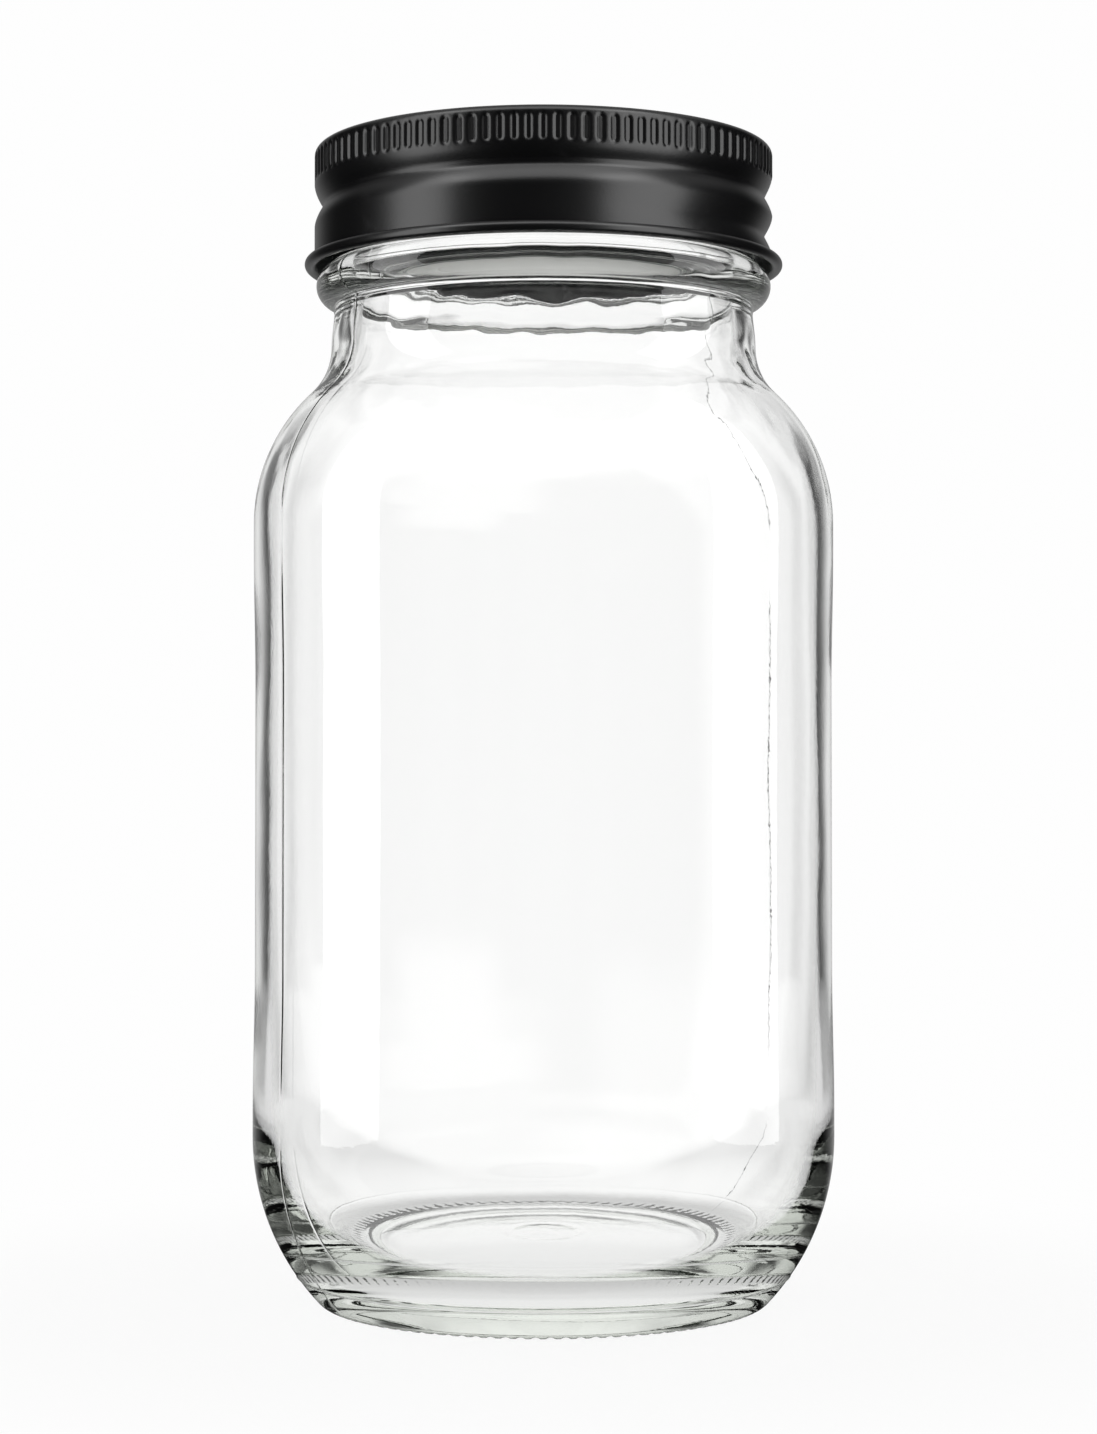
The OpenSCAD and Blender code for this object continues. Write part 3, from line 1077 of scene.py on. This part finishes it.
def surroundings(g, x, y, stage):
    """Levels of the studio in a direction, each from the axis outwards.

    They are what glass shows of the windows behind and on the left, what is mirrored, and three
    parts that only some surfaces hold: the flanks, the table's painted pool of light, and the
    window at the front right, narrow and wide.
    """
    turn = g.math("ARCTAN2", y, x)

    def window(degrees, level, widen=1.0):
        away = abs((turn + (3 * math.pi - math.radians(degrees))) % TURN - math.pi)
        edges = (stage.shade_edge * widen, stage.window_edge * widen)
        return g.step(away, *edges, 0.0, level)

    def past(near_edge, far_edge):
        """The bright part past the back window's dark edges, which ends between two angles."""
        away = abs((turn + 2.5 * math.pi) % TURN - math.pi)
        dark_end, bright_start = math.radians(34), math.radians(42)
        past_edge = g.step(away, dark_end, bright_start, 0.0, stage.flank)
        return past_edge * g.step(away, math.radians(far_edge), math.radians(near_edge))

    through = g.math("MAXIMUM", window(90, stage.window), window(180, stage.side_window, 0.6))
    mirrored = window(90, stage.mirrored, 1.5) + 0.01
    fronts = (window(315, 0.9), window(315, 0.9, 1.8))
    return through + stage.shade, mirrored, past(52, 62), past(85, 100), fronts


def white_world(stage):
    """White where it is looked at, windows of light where it is seen through glass."""
    world = bpy.data.worlds.new("white_studio")
    world.use_nodes = True
    world.node_tree.nodes.clear()
    g = Graph(world.node_tree)
    output = g.node("ShaderNodeOutputWorld")
    x, y, up = g.split(g.out("ShaderNodeTexCoord", output=0))
    path = g.node("ShaderNodeLightPath")
    camera = Value(g, path.outputs["Is Camera Ray"])
    diffuse = Value(g, path.outputs["Is Diffuse Ray"])
    transmitted = Value(g, path.outputs["Is Transmission Ray"])
    through, mirrored, flanks, _, _ = surroundings(g, x, y, stage)
    through = g.math("MAXIMUM", through, flanks)
    # Over the windows the studio is evenly bright.
    upper = g.step(up, 0.25, 0.45)
    through = through * (1 - upper) + upper * 0.9
    ceiling = g.step(up, 0.45, 0.85)
    mirrored = mirrored * (1 - ceiling) + ceiling * stage.ceiling
    level = mirrored * (1 - transmitted) + through * transmitted
    level = level * (1 - diffuse) + diffuse
    level = level * (1 - camera) + camera * stage.white
    light = g.out("ShaderNodeBackground", None, {"Color": grey(1.0), "Strength": level})
    g.tree.links.new(light.socket, output.inputs["Surface"])
    return world


def floor_material(stage):
    """White paper, which is part of the surroundings for rays that pass glass or mirror: for those
    it glows with painted windows of light, painted shade and a painted contact shadow under the
    jar.
    """
    made, g, output = new_material("white_floor")
    x, y, _ = g.split(object_point(g))
    radius = (x * x + y * y) ** 0.5
    path = g.node("ShaderNodeLightPath")
    glossy = Value(g, path.outputs["Is Glossy Ray"])
    transmitted = Value(g, path.outputs["Is Transmission Ray"])
    mirrored_ray = glossy * (1 - transmitted)
    plain = 1 - g.math("MAXIMUM", glossy, transmitted)
    paper = g.out("ShaderNodeBsdfDiffuse", None, {"Color": grey(stage.paper)})
    level = stage.white - stage.paper
    fill = g.out("ShaderNodeEmission", None, {"Color": grey(1.0), "Strength": level})
    near = g.out("ShaderNodeAddShader", None, {0: paper, 1: fill})
    through, mirrored, flanks, table, fronts = surroundings(g, x, y, stage)
    # The painted light on the table ends softly at some distance from the jar.
    behind = g.step(radius, 0.34, 0.24) * 0.5 + g.step(radius, 0.90, 0.50) * 0.4
    for light in (
        flanks,
        table * g.step(radius, 0.85, 0.65),
        fronts[0] * g.step(radius, 1.50, 0.40),
        fronts[1] * g.step(radius, 0.36, 0.26),
        behind * g.step(y, 0.0, 0.03),
    ):
        through = g.math("MAXIMUM", through, light)
    # Painted light: close round the jar the table glows evenly for rays through glass, a little
    # over white.
    close = g.step(radius, stage.near * 1.4, stage.near * 0.8)
    through = through * (1 - close) + close * stage.near_level
    # Painted shadow: under the base the table seen through glass is darker, and darkest at the
    # bearing ring.
    under = g.step(radius, GLASS_HIGH.x, GLASS_HIGH.x * 0.8)
    shadow = g.step(radius, 0.026, 0.036, stage.painted_under_shade, stage.painted_contact_shadow)
    through = through * (1 - under) + under * shadow
    far_level = mirrored * mirrored_ray + through * transmitted + plain * stage.white
    far = g.out("ShaderNodeEmission", None, {"Color": grey(1.0), "Strength": far_level})
    share = g.math("MAXIMUM", 1 - plain, g.step(radius, 0.06, 0.15) * plain)
    surface = g.out("ShaderNodeMixShader", None, {0: share, 1: near, 2: far})
    g.tree.links.new(surface.socket, output.inputs["Surface"])
    return made


def add_lamp(name, size, position, target, radiance, lit):
    """A rectangular lamp that only shows as a reflection on the pieces in one collection."""
    lamp = bpy.data.lights.new(name, "AREA")
    lamp.shape = "RECTANGLE"
    lamp.size, lamp.size_y = size
    lamp.energy = radiance * math.pi * size[0] * size[1]
    lamp.diffuse_factor = 0.0
    made = bpy.data.objects.new(name, lamp)
    bpy.context.scene.collection.objects.link(made)
    made.location = position
    made.rotation_euler = (Vector(target) - Vector(position)).to_track_quat("-Z", "Y").to_euler()
    made.visible_camera = False
    made.visible_transmission = False
    made.light_linking.receiver_collection = lit
    return made


class CANNING_JAR_OT_stage(bpy.types.Operator):
    """Build the floor, the lamps and the camera"""

    bl_idname = "canning_jar.stage"
    bl_label = "Stage"

    def execute(self, context):
        scene = context.scene
        stage = scene.jar_stage
        scene.world = white_world(stage)
        scene.view_settings.view_transform = "Standard"
        scene.cycles.max_bounces = 24
        scene.cycles.transmission_bounces = 24
        scene.cycles.glossy_bounces = 24
        mesh = bpy.data.meshes.new("floor")
        corners = [(8 * math.cos(a), 8 * math.sin(a), 0.0) for a in even_angles(64)]
        mesh.from_pydata(corners, [], [list(range(len(corners)))])
        mesh.materials.append(floor_material(stage))
        floor = add_piece(mesh)
        floor.location.z = -0.02 * MM
        glass = bpy.data.collections.new("lit_glass")
        band = bpy.data.collections.new("lit_band")
        closure = bpy.data.collections.new("lit_closure")
        for made in scene.objects:
            if made.name.startswith("glass"):
                glass.objects.link(made)
            if made.name.startswith("band"):
                band.objects.link(made)
            if made.name.startswith(("band", "flat_lid", "compound")):
                closure.objects.link(made)
        high = (0.0, 0.0, 0.17)
        power = stage.softbox
        left = (-0.27, -0.0775, 0.26)
        right = (0.27, -0.05, 0.26)
        add_lamp("strip_left", (0.141, 0.52), left, (0.0, left[1], left[2]), power, glass)
        add_lamp("strip_right", (0.161, 0.52), right, (0.0, right[1], right[2]), power, glass)
        key = stage.key
        middle = (0.0, 0.0, 0.285)
        add_lamp("box_left", (0.15, 0.56), (-0.242, -0.14, 0.285), middle, key, band)
        add_lamp("box_right", (0.21, 0.56), (0.215, -0.18, 0.285), middle, key, band)
        add_lamp("box_top", (0.70, 0.30), (0.0, -0.22, 0.60), high, key * 0.6, closure)
        # This one lights the inside of the lid through the glass, and isn't mirrored.
        fill = add_lamp("fill", (0.06, 0.06), (0.0, 0.0, 0.02), high, key * 2, closure)
        fill.data.diffuse_factor = 1.0
        fill.data.specular_factor = 0.0
        camera_data = bpy.data.cameras.new("camera")
        camera_data.lens = stage.lens
        camera = bpy.data.objects.new("camera", camera_data)
        scene.collection.objects.link(camera)
        camera.location = (stage.eye_offset, -stage.distance, stage.eye_height)
        camera.rotation_euler = (math.pi / 2 + stage.tilt, 0.0, 0.0)
        scene.camera = camera
        return {"FINISHED"}


class CANNING_JAR_PT_panel(bpy.types.Panel):
    """Lists the jar's pieces and settings in the 3D view's sidebar"""

    bl_idname = "CANNING_JAR_PT_panel"
    bl_label = "Canning Jar"
    bl_space_type = "VIEW_3D"
    bl_region_type = "UI"
    bl_category = "Canning Jar"

    def draw(self, context):
        for operator in OPERATORS:
            self.layout.operator(operator.bl_idname)
        for group in SETTINGS:
            box = self.layout.box()
            settings = getattr(context.scene, group)
            for name in settings.__annotations__:
                box.prop(settings, name)


OPERATORS = (
    CANNING_JAR_OT_glass,
    CANNING_JAR_OT_lid,
    CANNING_JAR_OT_compound,
    CANNING_JAR_OT_band,
    CANNING_JAR_OT_stage,
)
SETTINGS = {
    "jar_glass": GlassSettings,
    "jar_closure": ClosureSettings,
    "jar_stage": StageSettings,
}
CLASSES = (*SETTINGS.values(), *OPERATORS, CANNING_JAR_PT_panel)


def register():
    for cls in CLASSES:
        bpy.utils.register_class(cls)
    for name, group in SETTINGS.items():
        setattr(bpy.types.Scene, name, PointerProperty(type=group))


def unregister():
    for name in SETTINGS:
        delattr(bpy.types.Scene, name)
    for cls in reversed(CLASSES):
        bpy.utils.unregister_class(cls)


def main():
    register()
    bpy.ops.canning_jar.glass()
    bpy.ops.canning_jar.lid()
    bpy.ops.canning_jar.compound()
    bpy.ops.canning_jar.band()
    bpy.ops.canning_jar.stage()


if __name__ == "__main__":
    main()
